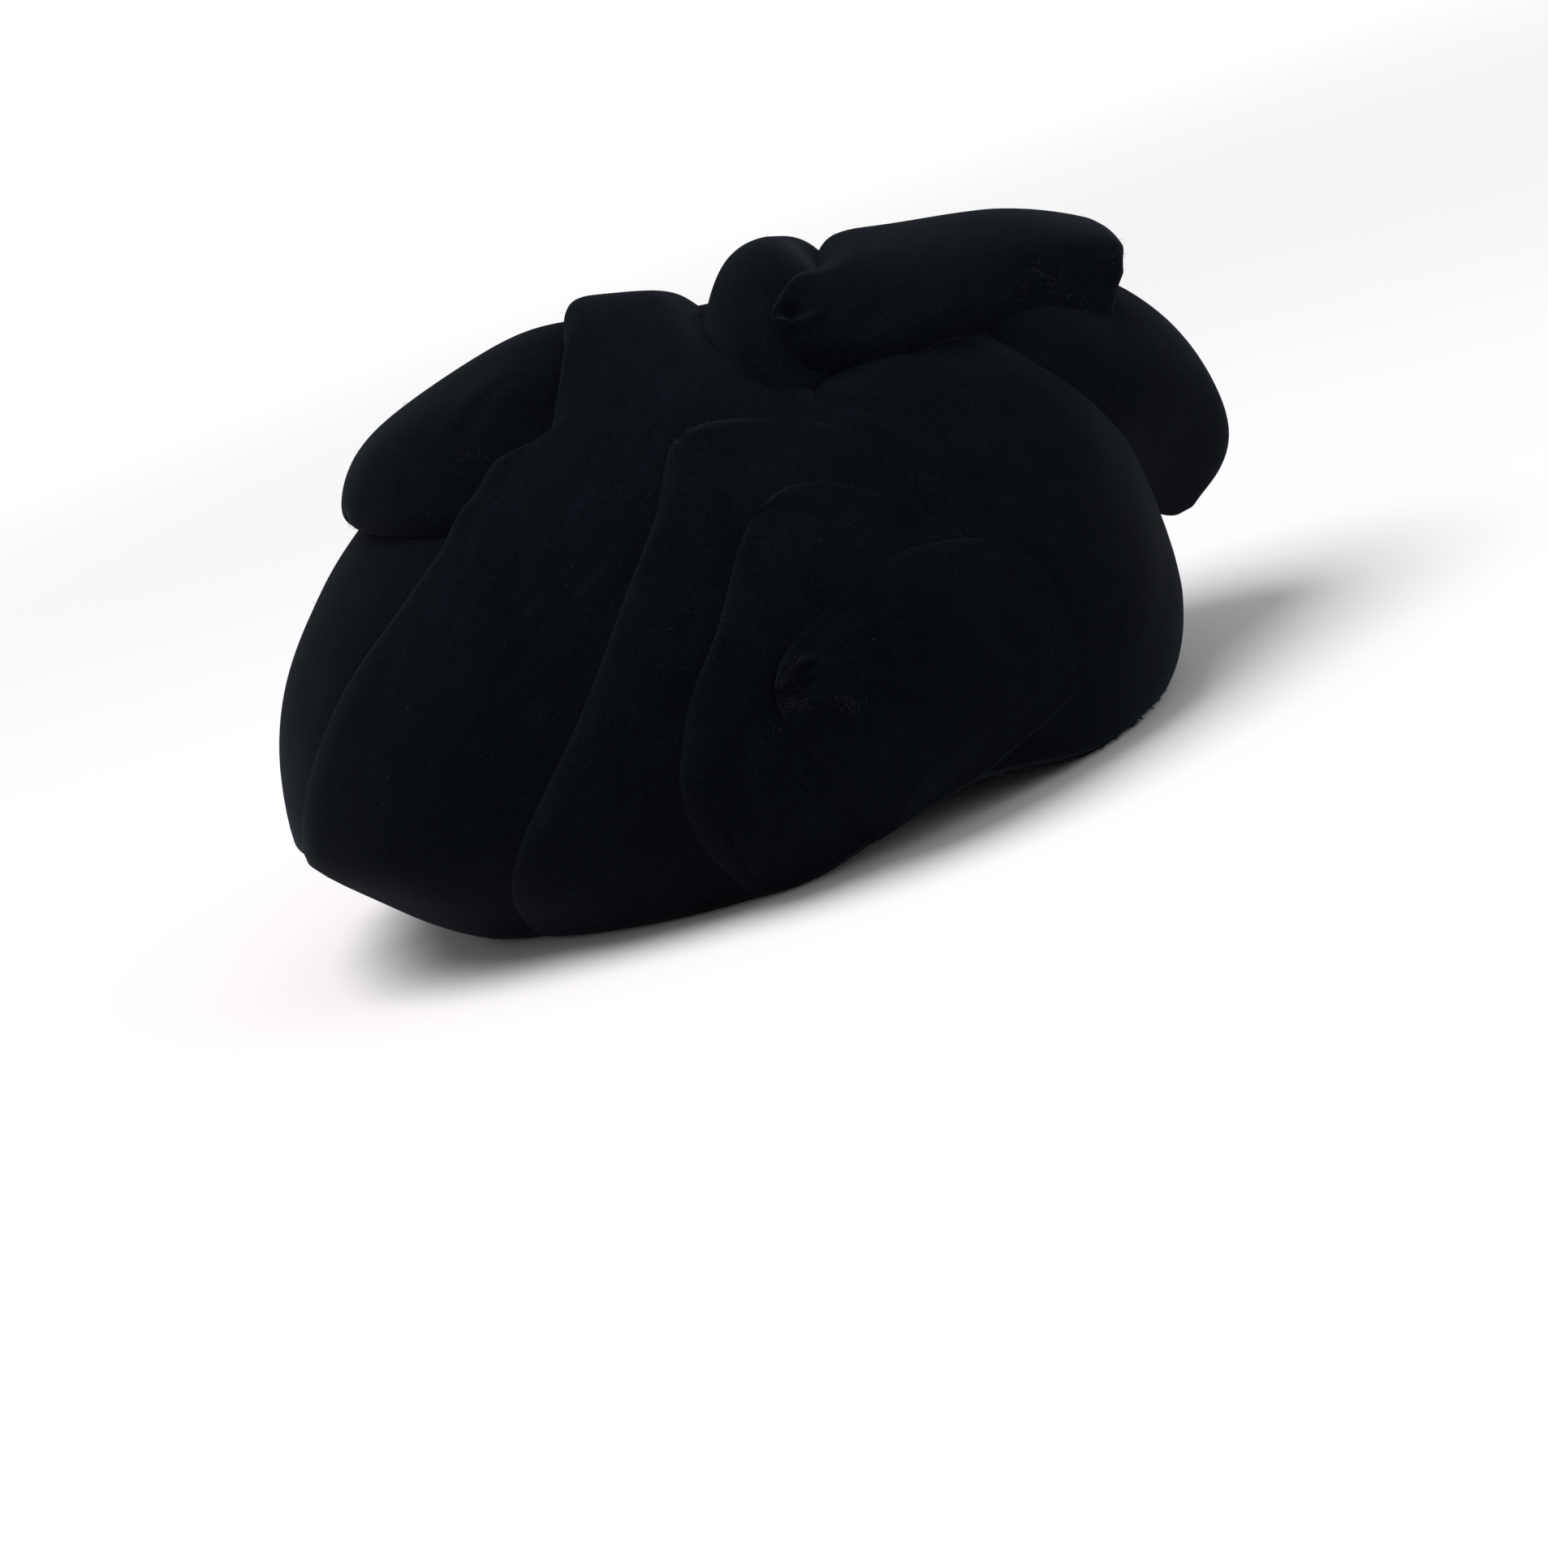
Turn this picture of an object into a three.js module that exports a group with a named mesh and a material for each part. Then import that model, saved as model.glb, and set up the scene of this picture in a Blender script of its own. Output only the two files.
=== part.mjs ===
// A small close cap covered in large black velvet petals, lapped over each other like a rose.
// Millimetres, +Z up, +X to the wearer's front, the edge of the head opening on z = 0.
//
// The cap is one round shape around a centre on the girth line. A place on it is given by its azimuth
// (0 front, 90 the wearer's left, -90 the wearer's right) and its fall, the angle down from straight up.
// Tables give elevations instead, 90 less the fall, because they read more easily.
// Every petal is a sheet that lies at some height above the cap, over whatever was laid before it.

import * as THREE from 'three';

// Sizes of the cap
const cap = {
  front: 98.5, // reach from the centre to the front
  back: 111, // reach to the back
  half: 87, // reach to each side
  girth: 36, // height of the widest line
  top: 84, // rise from the girth to the top
  drop: 72, // depth that the lower half would reach if the opening didn't cut it
  wall: 2.5,
  roundUp: 2.12, // exponent of the upper half, 2 is an ellipse
  roundDown: 1.75, // exponent of the lower half, which curls in to the opening
  squareFront: 1.0, // added to the exponent towards the front
  leanBack: 0.62, // taken from the lower exponent towards the back, where the nape slants in
  slopeBack: 0.22, // taken from the upper exponent there
};

// The edge of the head opening rises in a low arch over each ear
const ear = { azimuth: 65, halfWidth: 31, rise: 8.5 };

// How petals lie on each other
const lap = {
  gap: 0.4, // kept between a petal and what it lies on
  rimGap: 0.8, // petals end this far above the cap's edge
  edge: 0.4, // share of the thickness that is left at a petal's edge
  bevel: 5, // the edge is rounded off over the outer fifth of the half width
  root: 0.3, // share of the full thickness that is left at the sewn end
  rootBevel: 6, // it comes back over the first part of the length
  turns: 8, // rounds of lifting a petal clear
  settle: 6, // smoothing passes
};

// A petal's grid, and how far its rows crowd to the tip and its columns to the edges
const grid = { rows: 12, columns: 10, tipRows: 0.35, edgeColumns: 0.4 };
const capGrid = { around: 44, down: 12 };
// The raster's cell and reach in degrees, and the share of a triangle's size that it counts past its edges
const raster = { cell: 0.8, span: 130, slack: 0.12 };

const velvet = { color: 0x0b0d12, roughness: 0.95, metalness: 0 };
const lining = { color: 0x08090c, roughness: 0.9, metalness: 0 };

// The petals in the order in which they are laid, the lowest first.
// root is the sewn end: its left and right azimuth and its elevation, null for the edge of the opening.
// left and right are points on the two long edges, from the root to the tip, seen from outside.
// thick is the doubled velvet, arch how far the middle stands up, peak where along the length it does,
// rise how far the root stands up, and lift how far the tip does. free marks a root away from the edge,
// and blunt is the share of the length over which a raised root turns down to what it lies on.
// rows is the number of its rows where the grid's own number is too few.
const petals = [
  { name: 'back_lower_petal', root: [150, 206, null], tip: [180, 52], thick: 2.8, arch: 4, peak: 0.22,
    left: [[138, 10], [148, 40]], right: [[222, 10], [212, 40]] },
  { name: 'left_back_petal', root: [100, 176, null], tip: [128, 60], thick: 2.6, arch: 2, lift: 1,
    left: [[84, 20], [98, 45]], right: [[162, 16], [147, 45]] },
  { name: 'left_top_petal', root: [62, 120, 30], tip: [-40, 80], thick: 2.6, arch: 1, free: true,
    left: [[40, 50], [20, 66]], right: [[140, 52], [170, 70]] },
  { name: 'back_upper_petal', root: [-100, 95, 82], tip: [-170, 40], thick: 2.8, arch: 9.5,
    lift: 2, free: true, left: [[-132, 64], [-139, 41]], right: [[140, 64], [150, 43]] },
  { name: 'left_mid_petal', root: [76, 142, null], tip: [92, 46], thick: 2.6, arch: 2, lift: 1,
    left: [[54, 5], [51, 24], [66, 42]], right: [[125, 6], [108, 30]] },
  { name: 'left_front_petal', root: [64, 99, null], tip: [84, 31], thick: 2.6, arch: 1, lift: 1,
    left: [[50, 2], [55, 20], [68, 33]], right: [[105, -4], [98, 13]] },
  { name: 'left_ear_petal', root: [60, 80, null], tip: [86, 8], thick: 2.6, arch: 1, lift: 1,
    left: [[44, -4], [50, 10], [66, 20]], right: [[87, -2]] },
  { name: 'right_back_petal', root: [-178, -104, null], tip: [115, 79], thick: 2.8, arch: 3, peak: 0.8,
    lift: 1, rows: 19, left: [[-165, 6], [-147, 31], [-135, 50], [-125, 61], [-128, 71]],
    right: [[-72, 25], [-50, 55], [40, 76]] },
  { name: 'front_lower_petal', root: [-68, 58, null], tip: [-36, 56], thick: 2.8, arch: 2, peak: 0.25,
    left: [[-70, 14], [-66, 40]], right: [[34, 22], [8, 44]] },
  { name: 'front_petal', root: [50, -14, 50], tip: [14, -2], thick: 2.8, arch: 24, peak: 0.7,
    lift: 9, free: true, left: [[50, 22]], right: [[-11, 26], [-6, 13]] },
  { name: 'right_mid_petal', root: [-151, -78, null], tip: [-90, 48], thick: 2.6, arch: 1, lift: 0.5,
    left: [[-128, 1], [-113, 18], [-99, 36]], right: [[-54, 5], [-51, 25], [-62, 44], [-76, 49]] },
  { name: 'crest_under_petal', root: [10, 48, 62], tip: [-66, 48], thick: 2.4, arch: 7.5, free: true,
    left: [[-20, 62], [-46, 52]], right: [[-50, 74], [-68, 57]] },
  { name: 'crest_petal', root: [-6, 34, 24.5], tip: [-62, 54], thick: 2.6, arch: 4.5, rise: 6, blunt: 0.06,
    free: true, rows: 20, left: [[-26, 38], [-46, 44]], right: [[20, 60], [-35, 68]] },
  { name: 'right_front_petal', root: [-105, -64, null], tip: [-82.5, 31.5], thick: 2.6, arch: 1, lift: 0.5,
    left: [[-107, -5], [-103, 7], [-94, 18]], right: [[-46, 4], [-54, 20], [-70, 34]] },
  { name: 'right_ear_petal', root: [-82, -62, null], tip: [-89, 8.5], thick: 2.6, arch: 1, lift: 1,
    left: [[-87.5, -3]], right: [[-40, -8], [-42, 8], [-60, 19], [-77, 17.5]] },
];

const radians = THREE.MathUtils.degToRad;
const degrees = THREE.MathUtils.radToDeg;

// The unit vector of an azimuth and a fall
function toward(azimuth, fall) {
  const around = radians(azimuth);
  const down = radians(fall);
  return new THREE.Vector3(
    Math.sin(down) * Math.cos(around), Math.sin(down) * Math.sin(around), Math.cos(down));
}

// Distance from the cap's centre to its outside, in one direction
function capRadius(direction) {
  const reach = direction.x >= 0 ? cap.front : cap.back;
  const level = Math.hypot(direction.x / reach, direction.y / cap.half);
  const up = Math.abs(direction.z) / (direction.z >= 0 ? cap.top : cap.drop);
  const round = direction.z >= 0 ? cap.roundUp : cap.roundDown;
  const lean = direction.z >= 0 ? cap.slopeBack : cap.leanBack;
  const exponent = round + cap.squareFront * Math.max(direction.x, 0) ** 2
    - lean * Math.min(direction.x, 0) ** 2;
  return (level ** exponent + up ** exponent) ** (-1 / exponent);
}

// Height of the opening's edge at an azimuth: flat, with a low arch over each ear
function edgeHeight(azimuth) {
  const turned = Math.abs(THREE.MathUtils.euclideanModulo(azimuth + 180, 360) - 180);
  const off = (turned - ear.azimuth) / ear.halfWidth;
  return Math.abs(off) < 1 ? ear.rise * Math.cos(off * Math.PI / 2) ** 2 : 0;
}

// The fall at which the cap reaches a height above the opening's edge
function edgeFall(azimuth, above) {
  let fall = 113;
  for (let turn = 0; turn < 15; turn += 1) {
    const depth = cap.girth - edgeHeight(azimuth) - above;
    fall = 90 + degrees(Math.asin(depth / capRadius(toward(azimuth, fall))));
  }
  return fall;
}

// The point at a height above the cap. Heights are taken straight out from the centre, and level at the
// opening's edge, so that every layer ends at the same height there.
function above(azimuth, fall, height) {
  const direction = toward(azimuth, fall);
  const point = direction.clone().multiplyScalar(capRadius(direction));
  const below = THREE.MathUtils.clamp((fall - 90) / (edgeFall(azimuth, lap.rimGap) - 90), 0, 1);
  const out = new THREE.Vector3(direction.x, direction.y, direction.z * (1 - below ** 2)).normalize();
  point.addScaledVector(out, height);
  point.z += cap.girth;
  return point;
}

// A flat chart of the cap: the fall is the distance from the middle, the azimuth is the direction
function toChart(azimuth, fall) {
  return new THREE.Vector2(fall * Math.cos(radians(azimuth)), fall * Math.sin(radians(azimuth)));
}

function fromChart(place) {
  return { azimuth: degrees(Math.atan2(place.y, place.x)), fall: place.length() };
}

// A smooth curve through points, with knots by the square root of their distances
function smoothCurve(points) {
  const knots = [0];
  for (let i = 1; i < points.length; i += 1) {
    knots.push(knots[i - 1] + Math.sqrt(points[i].distanceTo(points[i - 1])));
  }
  const last = points.length - 1;
  const slope = (i) => points[i + 1].clone().sub(points[i]).divideScalar(knots[i + 1] - knots[i]);
  const tangents = points.map((point, i) => {
    if (i === 0 || i === last) return null;
    const before = knots[i] - knots[i - 1];
    const after = knots[i + 1] - knots[i];
    return slope(i - 1).multiplyScalar(after).addScaledVector(slope(i), before)
      .divideScalar(before + after);
  });
  tangents[0] = slope(0).multiplyScalar(1.5).addScaledVector(tangents[1], -0.5);
  tangents[last] = slope(last - 1).multiplyScalar(1.5).addScaledVector(tangents[last - 1], -0.5);
  const at = (knot) => {
    let i = 0;
    while (i < last - 1 && knots[i + 1] <= knot) i += 1;
    const step = knots[i + 1] - knots[i];
    const f = (knot - knots[i]) / step;
    return points[i].clone().multiplyScalar(2 * f ** 3 - 3 * f ** 2 + 1)
      .addScaledVector(tangents[i], step * (f ** 3 - 2 * f ** 2 + f))
      .addScaledVector(points[i + 1], 3 * f ** 2 - 2 * f ** 3)
      .addScaledVector(tangents[i + 1], step * (f ** 3 - f ** 2));
  };
  return { at, knots };
}

// A petal's grid on the chart. length runs from the root to the tip and width from edge to edge.
function petalGrid(petal) {
  const [rootLeft, rootRight, elevation] = petal.root;
  const rootFall = (azimuth) => (elevation === null ? edgeFall(azimuth, lap.rimGap) : 90 - elevation);
  const onChart = ([azimuth, up]) => toChart(azimuth, 90 - up);
  const outline = [
    toChart(rootLeft, rootFall(rootLeft)), ...petal.left.map(onChart), onChart(petal.tip),
    ...petal.right.map(onChart).reverse(), toChart(rootRight, rootFall(rootRight)),
  ];
  const curve = smoothCurve(outline);
  const tipKnot = curve.knots[petal.left.length + 1];
  const endKnot = curve.knots[outline.length - 1];
  const rows = petal.rows ?? grid.rows;
  const places = [];
  for (let i = 0; i <= rows; i += 1) {
    const even = i / rows;
    const length = THREE.MathUtils.lerp(even, Math.sin(even * Math.PI / 2), grid.tipRows);
    const leftEdge = curve.at(length * tipKnot);
    const rightEdge = curve.at(endKnot - length * (endKnot - tipKnot));
    const row = [];
    for (let j = 0; j <= grid.columns; j += 1) {
      const side = 2 * j / grid.columns - 1;
      const width = THREE.MathUtils.lerp(side, Math.sin(side * Math.PI / 2), grid.edgeColumns);
      const across = (width + 1) / 2;
      const place = leftEdge.clone().lerp(rightEdge, across);
      if (!petal.free) {
        // the sewn end follows the opening instead of cutting straight across
        const azimuth = THREE.MathUtils.lerp(rootLeft, rootRight, across);
        const chord = outline[0].clone().lerp(outline[outline.length - 1], across);
        place.addScaledVector(toChart(azimuth, rootFall(azimuth)).sub(chord), 1 - length);
      }
      row.push({ place, length, width });
    }
    places.push(row);
  }
  return places;
}

// The two triangles of each cell of a grid, as corners [row, column]
function gridTriangles(rows, columns) {
  const triangles = [];
  for (let i = 0; i < rows; i += 1) {
    for (let j = 0; j < columns; j += 1) {
      triangles.push([[i, j], [i, j + 1], [i + 1, j + 1]]);
      triangles.push([[i, j], [i + 1, j + 1], [i + 1, j]]);
    }
  }
  return triangles;
}

// The raster is a square of cells on the chart, each with its direction from the cap's centre
const rasterSide = Math.round(2 * raster.span / raster.cell) + 1;
const directions = Array.from({ length: rasterSide ** 2 }, (_, index) => {
  const x = Math.floor(index / rasterSide) * raster.cell - raster.span;
  const y = (index % rasterSide) * raster.cell - raster.span;
  const { azimuth, fall } = fromChart(new THREE.Vector2(x, y));
  return toward(azimuth, fall);
});

// The raster cells behind a flat triangle, seen from the cap's centre, with its distance in each.
// Measured so, a flat triangle counts with all its sag below the round surface.
function cellsBehind(corners) {
  const [a, b, c] = corners.map((corner) => new THREE.Vector3(corner.x, corner.y, corner.z - cap.girth));
  const columns = [];
  const rows = [];
  for (const { x, y, z } of [a, b, c]) {
    const place = toChart(degrees(Math.atan2(y, x)), degrees(Math.atan2(Math.hypot(x, y), z)));
    columns.push((place.x + raster.span) / raster.cell);
    rows.push((place.y + raster.span) / raster.cell);
  }
  const normal = b.clone().sub(a).cross(c.clone().sub(a));
  const weights = new THREE.Vector3();
  const point = new THREE.Vector3();
  // a triangle smaller than a cell still counts in the cell nearest to each of its corners
  const cells = [a, b, c].map((corner, k) => (
    { index: Math.round(columns[k]) * rasterSide + Math.round(rows[k]), distance: corner.length() }));
  if (normal.lengthSq() < 1e-9) return cells;
  for (let x = Math.floor(Math.min(...columns)); x <= Math.max(...columns) + 1; x += 1) {
    for (let y = Math.floor(Math.min(...rows)); y <= Math.max(...rows) + 1; y += 1) {
      const index = x * rasterSide + y;
      const distance = normal.dot(a) / normal.dot(directions[index]);
      point.copy(directions[index]).multiplyScalar(distance);
      THREE.Triangle.getBarycoord(point, a, b, c, weights);
      if (Math.min(weights.x, weights.y, weights.z) > -raster.slack) cells.push({ index, distance });
    }
  }
  return cells;
}

// The points of a sheet at its heights above the cap
function sheetPoints(places, heights) {
  return places.map((row, i) => row.map(({ place }, j) => {
    const { azimuth, fall } = fromChart(place);
    return above(azimuth, fall, heights[i][j]);
  }));
}

// Raises a petal's heights until its flat triangles clear everything that was laid before it
function clear(places, heights, cover) {
  const need = heights.map((row) => row.map(() => 0));
  const points = sheetPoints(places, heights);
  for (const corners of gridTriangles(places.length - 1, grid.columns)) {
    let lack = 0;
    for (const { index, distance } of cellsBehind(corners.map(([i, j]) => points[i][j]))) {
      lack = Math.max(lack, cover[index] + lap.gap - distance);
    }
    for (const [i, j] of corners) need[i][j] = Math.max(need[i][j], lack);
  }
  return heights.map((row, i) => row.map((height, j) => height + need[i][j]));
}

// Pulls a draped sheet taut: a height only rises, to the mean of its neighbours
function settle(heights) {
  const lastRow = heights.length - 1;
  const lastColumn = heights[0].length - 1;
  return heights.map((row, i) => row.map((height, j) => {
    const along = i > 0 && i < lastRow ? (heights[i - 1][j] + heights[i + 1][j]) / 2 : height;
    const beside = j > 0 && j < lastColumn ? (row[j - 1] + row[j + 1]) / 2 : height;
    return Math.max(height, (along + beside) / 2);
  }));
}

// The tip is one point, so its whole row has one height
function joinTip(heights) {
  const tip = Math.max(...heights[heights.length - 1]);
  heights[heights.length - 1].fill(tip);
  return heights;
}

// Lays a petal over the cover, adds it to the cover, and gives the points of its two faces
function lay(petal, places, cover) {
  let heights = places.map((row) => row.map(() => lap.gap));
  for (let turn = 0; turn < lap.turns; turn += 1) heights = joinTip(clear(places, heights, cover));
  for (let turn = 0; turn < lap.settle; turn += 1) heights = joinTip(settle(heights));
  const shape = Math.log(0.5) / Math.log(petal.peak ?? 0.5);
  const turnedDown = (length) => Math.sqrt(1 - (1 - Math.min(1, length / (petal.blunt ?? 0))) ** 2);
  const rise = (length) => (petal.rise ?? 0) * (1 - length) ** 3 * (petal.blunt ? turnedDown(length) : 1);
  const low = places.map((row, i) => row.map(({ length, width }, j) => heights[i][j]
    + petal.arch * (1 - width ** 2) * Math.sin(Math.PI * length ** shape)
    + rise(length) + (petal.lift ?? 0) * length ** 4));
  const high = places.map((row, i) => row.map(({ length, width }, j) => {
    const full = Math.min(1, lap.bevel * (1 - Math.abs(width))) * Math.min(1, lap.bevel * (1 - length))
      * Math.min(1, lap.root + lap.rootBevel * length);
    return low[i][j] + petal.thick * (lap.edge + (1 - lap.edge) * full);
  }));
  const under = sheetPoints(places, low);
  const over = sheetPoints(places, high);
  for (const corners of gridTriangles(places.length - 1, grid.columns)) {
    for (const { index, distance } of cellsBehind(corners.map(([i, j]) => over[i][j]))) {
      cover[index] = Math.max(cover[index], distance);
    }
  }
  return { under, over };
}

// Collects points and triangles into one closed geometry
class Shell {
  constructor() {
    this.points = [];
    this.faces = [];
  }

  add(point) {
    this.points.push(point.x, point.y, point.z);
    return this.points.length / 3 - 1;
  }

  face(a, b, c) {
    if (a !== b && b !== c && c !== a) this.faces.push(a, b, c);
  }

  strip(a, b, c, d) {
    this.face(a, b, c);
    this.face(a, c, d);
  }

  mesh(name, finish) {
    const geometry = new THREE.BufferGeometry();
    geometry.setAttribute('position', new THREE.Float32BufferAttribute(this.points, 3));
    geometry.setIndex(this.faces);
    geometry.computeVertexNormals();
    const mesh = new THREE.Mesh(geometry, new THREE.MeshStandardMaterial(finish));
    mesh.name = name;
    return mesh;
  }
}

// A petal's two faces, joined by a narrow wall round the edge
function petalMesh(petal, cover) {
  const { under, over } = lay(petal, petalGrid(petal), cover);
  const shell = new Shell();
  const rows = under.length - 1;
  const indices = (points) => {
    const numbered = points.slice(0, rows).map((row) => row.map((point) => shell.add(point)));
    numbered.push(new Array(grid.columns + 1).fill(shell.add(points[rows][0])));
    return numbered;
  };
  const outer = indices(over);
  const inner = indices(under);
  for (const [[a, b], [c, d], [e, f]] of gridTriangles(rows, grid.columns)) {
    shell.face(outer[a][b], outer[c][d], outer[e][f]);
    shell.face(inner[e][f], inner[c][d], inner[a][b]);
  }
  const last = grid.columns;
  for (let i = 0; i < rows; i += 1) {
    shell.strip(outer[i + 1][0], inner[i + 1][0], inner[i][0], outer[i][0]);
    shell.strip(outer[i][last], inner[i][last], inner[i + 1][last], outer[i + 1][last]);
  }
  for (let j = 0; j < grid.columns; j += 1) {
    shell.strip(outer[0][j], inner[0][j], inner[0][j + 1], outer[0][j + 1]);
  }
  return shell.mesh(petal.name, velvet);
}

// The hollow cap: an outer and an inner face that meet in the flat edge of the head opening
function capMesh() {
  const shell = new Shell();
  const ring = (share, height) => {
    const places = [];
    for (let k = 0; k < capGrid.around; k += 1) {
      const azimuth = k * 360 / capGrid.around;
      const point = above(azimuth, share * edgeFall(azimuth, 0), height);
      if (share === 1) point.z = edgeHeight(azimuth);
      places.push(shell.add(point));
    }
    return places;
  };
  const face = (height) => {
    const pole = shell.add(above(0, 0, height));
    const rings = [new Array(capGrid.around).fill(pole)];
    for (let i = 1; i <= capGrid.down; i += 1) rings.push(ring(i / capGrid.down, height));
    return rings;
  };
  const outer = face(0);
  const inner = face(-cap.wall);
  const outerRim = outer[capGrid.down];
  const innerRim = inner[capGrid.down];
  for (let k = 0; k < capGrid.around; k += 1) {
    const next = (k + 1) % capGrid.around;
    for (let i = 0; i < capGrid.down; i += 1) {
      shell.strip(outer[i + 1][k], outer[i + 1][next], outer[i][next], outer[i][k]);
      shell.strip(inner[i][k], inner[i][next], inner[i + 1][next], inner[i + 1][k]);
    }
    shell.strip(outerRim[next], outerRim[k], innerRim[k], innerRim[next]);
  }
  return shell.mesh('crown', lining);
}

const cover = Float64Array.from(directions, (direction) => capRadius(direction));
const hat = new THREE.Group();
hat.add(capMesh());
for (const petal of petals) hat.add(petalMesh(petal, cover));

// The origin is under the middle of the whole hat
const middle = new THREE.Box3().setFromObject(hat).getCenter(new THREE.Vector3());
hat.position.set(-middle.x, -middle.y, 0);

const part = new THREE.Group();
part.add(hat);

export default part;
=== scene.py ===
# A small close cap covered in large black velvet petals, lapped over each other like a rose.
# Shapes are worked out in millimetres round the cap's own centre and carried into the frame in metres.
# A place on the cap is its azimuth (0 front, 90 the wearer's left) and its fall, the angle from straight up.
# Tables give elevations, 90 less the fall. A chart of the cap is flat: fall is distance, azimuth direction.

import math

import bpy
import numpy as np
from mathutils import Matrix, Vector


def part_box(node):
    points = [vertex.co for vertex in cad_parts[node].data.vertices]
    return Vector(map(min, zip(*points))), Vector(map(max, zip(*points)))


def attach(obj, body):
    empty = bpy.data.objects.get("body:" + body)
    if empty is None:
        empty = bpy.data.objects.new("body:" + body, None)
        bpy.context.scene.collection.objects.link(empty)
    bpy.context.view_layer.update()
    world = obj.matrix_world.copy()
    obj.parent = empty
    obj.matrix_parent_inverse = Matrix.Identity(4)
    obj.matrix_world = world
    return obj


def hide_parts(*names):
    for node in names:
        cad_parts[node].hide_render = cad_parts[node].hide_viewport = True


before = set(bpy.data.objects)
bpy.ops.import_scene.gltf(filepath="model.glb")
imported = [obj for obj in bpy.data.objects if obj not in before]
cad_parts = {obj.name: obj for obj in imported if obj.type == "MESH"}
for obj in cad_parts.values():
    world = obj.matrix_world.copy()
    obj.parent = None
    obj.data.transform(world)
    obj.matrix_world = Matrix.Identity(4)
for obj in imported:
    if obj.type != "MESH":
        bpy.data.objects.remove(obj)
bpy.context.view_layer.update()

layUnit = 100.0  # millimetres to one unit of the surface coordinates, which are called lay

cap = {
    "front": 98.5, "back": 111.0, "half": 87.0,  # reach from the centre
    "girth": 36.0,  # height of the widest line
    "top": 84.0, "drop": 72.0,  # rise above the girth, and depth below it if nothing cut it
    "wall": 2.5,
    "roundUp": 2.12, "roundDown": 1.75,  # exponents of the two halves, 2 is an ellipse
    "squareFront": 1.0,  # what both gain to the front
    "slopeBack": 0.22, "leanBack": 0.62,  # what the upper and the lower one lose to the back
    "around": 240, "down": 72,  # cells of its mesh
    "perDegree": 1.7,  # millimetres along its surface to a degree
    "cadRings": 12,  # rings of its CAD model, from the top to the edge
    "firstFall": 113.0, "rounds": 15,  # first guess at the fall of its edge, and how often it is bettered
}
ear = {"azimuth": 65.0, "halfWidth": 31.0, "rise": 8.5}  # the edge rises in a low arch over each ear

lap = {
    "gap": 0.35,  # kept between a petal and what it lies on
    "rimGap": 0.5,  # petals end this far above the cap's edge
    "rows": 112, "columns": 84,  # cells of a petal's mesh
    "tipRows": 0.6, "edgeColumns": 0.72,  # how far rows crowd to the tip and columns to the edges
    "roll": 5.5, "soft": 0.95,  # an edge is rounded over this width, by this power
    "rootRoll": 1.0,  # the same width at a sewn end
    "rootShare": 0.45, "rootLength": 0.16,  # a sewn end is this thin, over this share of the length
    "flare": 0.15, "flareWidth": 5.0,  # edges stand off a little
    "rest": 0.12,  # share of half the thickness at which the edge of a petal lies over what is below
    "bury": 0.4,  # how far a sunk edge goes under that
    "ease": 0.05,  # share of the length over which a sunk stretch begins and ends
    "hug": (5.0, 5.0, 5.0),  # as in the table below, for a petal that gives none
    "uneven": 0.35,  # soft unevenness of stuffed cloth
    "plump": 1.6,  # its mean, as a multiple of that
    "waves": 9, "waveLength": (18, 60),  # the sine waves that make it up
    "calm": 8.0,  # width over which it dies down to the edges
    "riseFade": 3, "liftGrowth": 4,  # powers by which the rise fades and the lift grows along the petal
    "shown": 0.1,  # an edge that is sunk less than this has pile
}

# The raster on which petals are draped: cell and span in degrees, marks to a mesh cell, margin in cells round
# a sheet, passes that soften it, and the reach in cells of each pass that pulls it taut
raster = {
    "cell": 0.5, "span": 130.0, "marks": 4, "margin": 3, "soft": 5,
    "taut": (8, 8, 8, 7, 7, 6, 6, 5, 5, 4, 4, 3, 3, 2, 2, 1, 1),
}

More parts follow.
